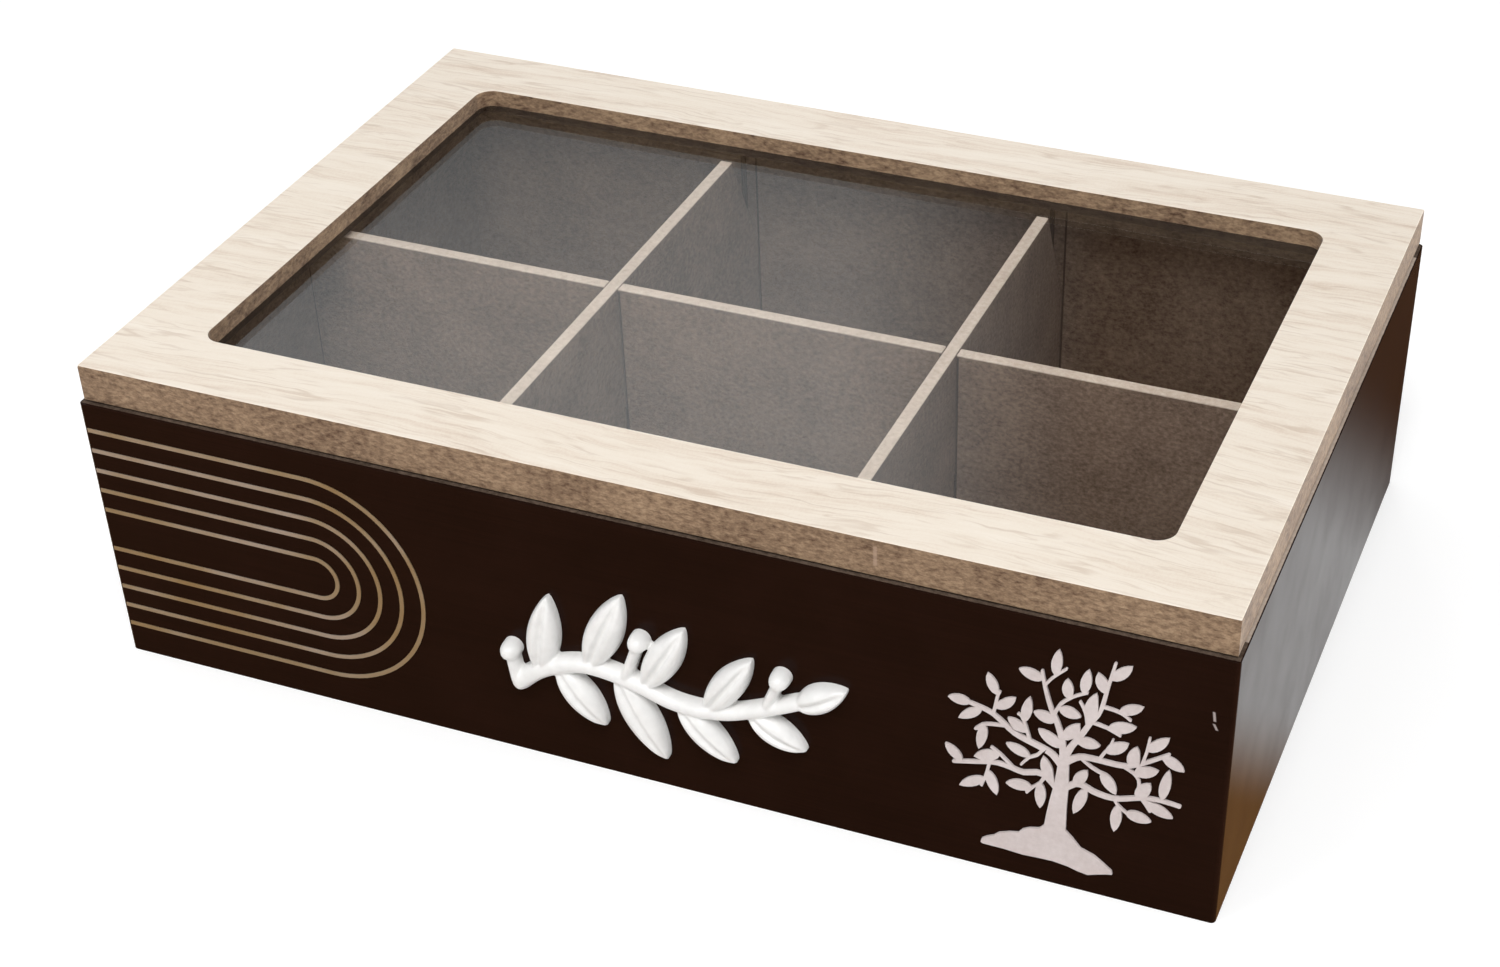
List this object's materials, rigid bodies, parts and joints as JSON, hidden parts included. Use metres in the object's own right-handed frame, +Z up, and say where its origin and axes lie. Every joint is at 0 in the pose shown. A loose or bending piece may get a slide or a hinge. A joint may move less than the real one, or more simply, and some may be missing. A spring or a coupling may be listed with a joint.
{
  "type": "tea bag organizer box",
  "caption": "Low wooden box with crossed dividers inside, a hinged lid with a recessed window, and line, leaf and tree ornaments on its front.",
  "frame": {"origin": "centre of the underside, on the surface that the box stands on", "axes": "+X to the right along the front, +Y to the hinged back, +Z up"},
  "size_m": [0.24, 0.1658, 0.071],
  "materials": {
    "dark_board": "satin dark brown film on fibreboard, inner faces bare",
    "bare_board": "bare fibreboard, matt",
    "steel": "plain nails",
    "gold_line": "thin gold lines, faintly metallic",
    "white_ornament": "smooth white, satin",
    "pale_ornament": "pale rose-white, matt",
    "lid_board": "bare routed fibreboard edges, matt",
    "oak_foil": "pale oak-print paper, satin",
    "clear_pane": "clear",
    "bare_strip": "bare, matt",
    "brass": "plated, satin",
    "screw_brass": "plated, satin"
  },
  "bodies": {
    "box": {"front_wall": "dark_board", "back_wall": "dark_board", "left_wall": "dark_board", "right_wall": "dark_board", "bottom_panel": "bare_board", "bottom_brads": "steel", "long_divider": "bare_board", "left_short_divider": "bare_board", "right_short_divider": "bare_board", "arch_lines": "gold_line", "leaf_sprig": "white_ornament", "tree_silhouette": "pale_ornament", "left_hinge_box_leaf": "brass", "right_hinge_box_leaf": "brass", "left_hinge_pin": "brass", "right_hinge_pin": "brass", "left_hinge_box_screws": "screw_brass", "right_hinge_box_screws": "screw_brass"},
    "lid": {"lid_frame": "lid_board", "lid_foil": "oak_foil", "window_pane": "clear_pane", "front_pane_strip": "bare_strip", "back_pane_strip": "bare_strip", "left_pane_strip": "bare_strip", "right_pane_strip": "bare_strip", "left_hinge_lid_leaf": "brass", "right_hinge_lid_leaf": "brass", "left_hinge_lid_screws": "screw_brass", "right_hinge_lid_screws": "screw_brass"}
  },
  "joints": [
    {"name": "lid_hinge", "type": "hinge", "parent": "box", "child": "lid", "pos_m": [0, 0.0808, 0.06275], "axis": [-1, 0, 0], "range_deg": [0, 180]}
  ]
}
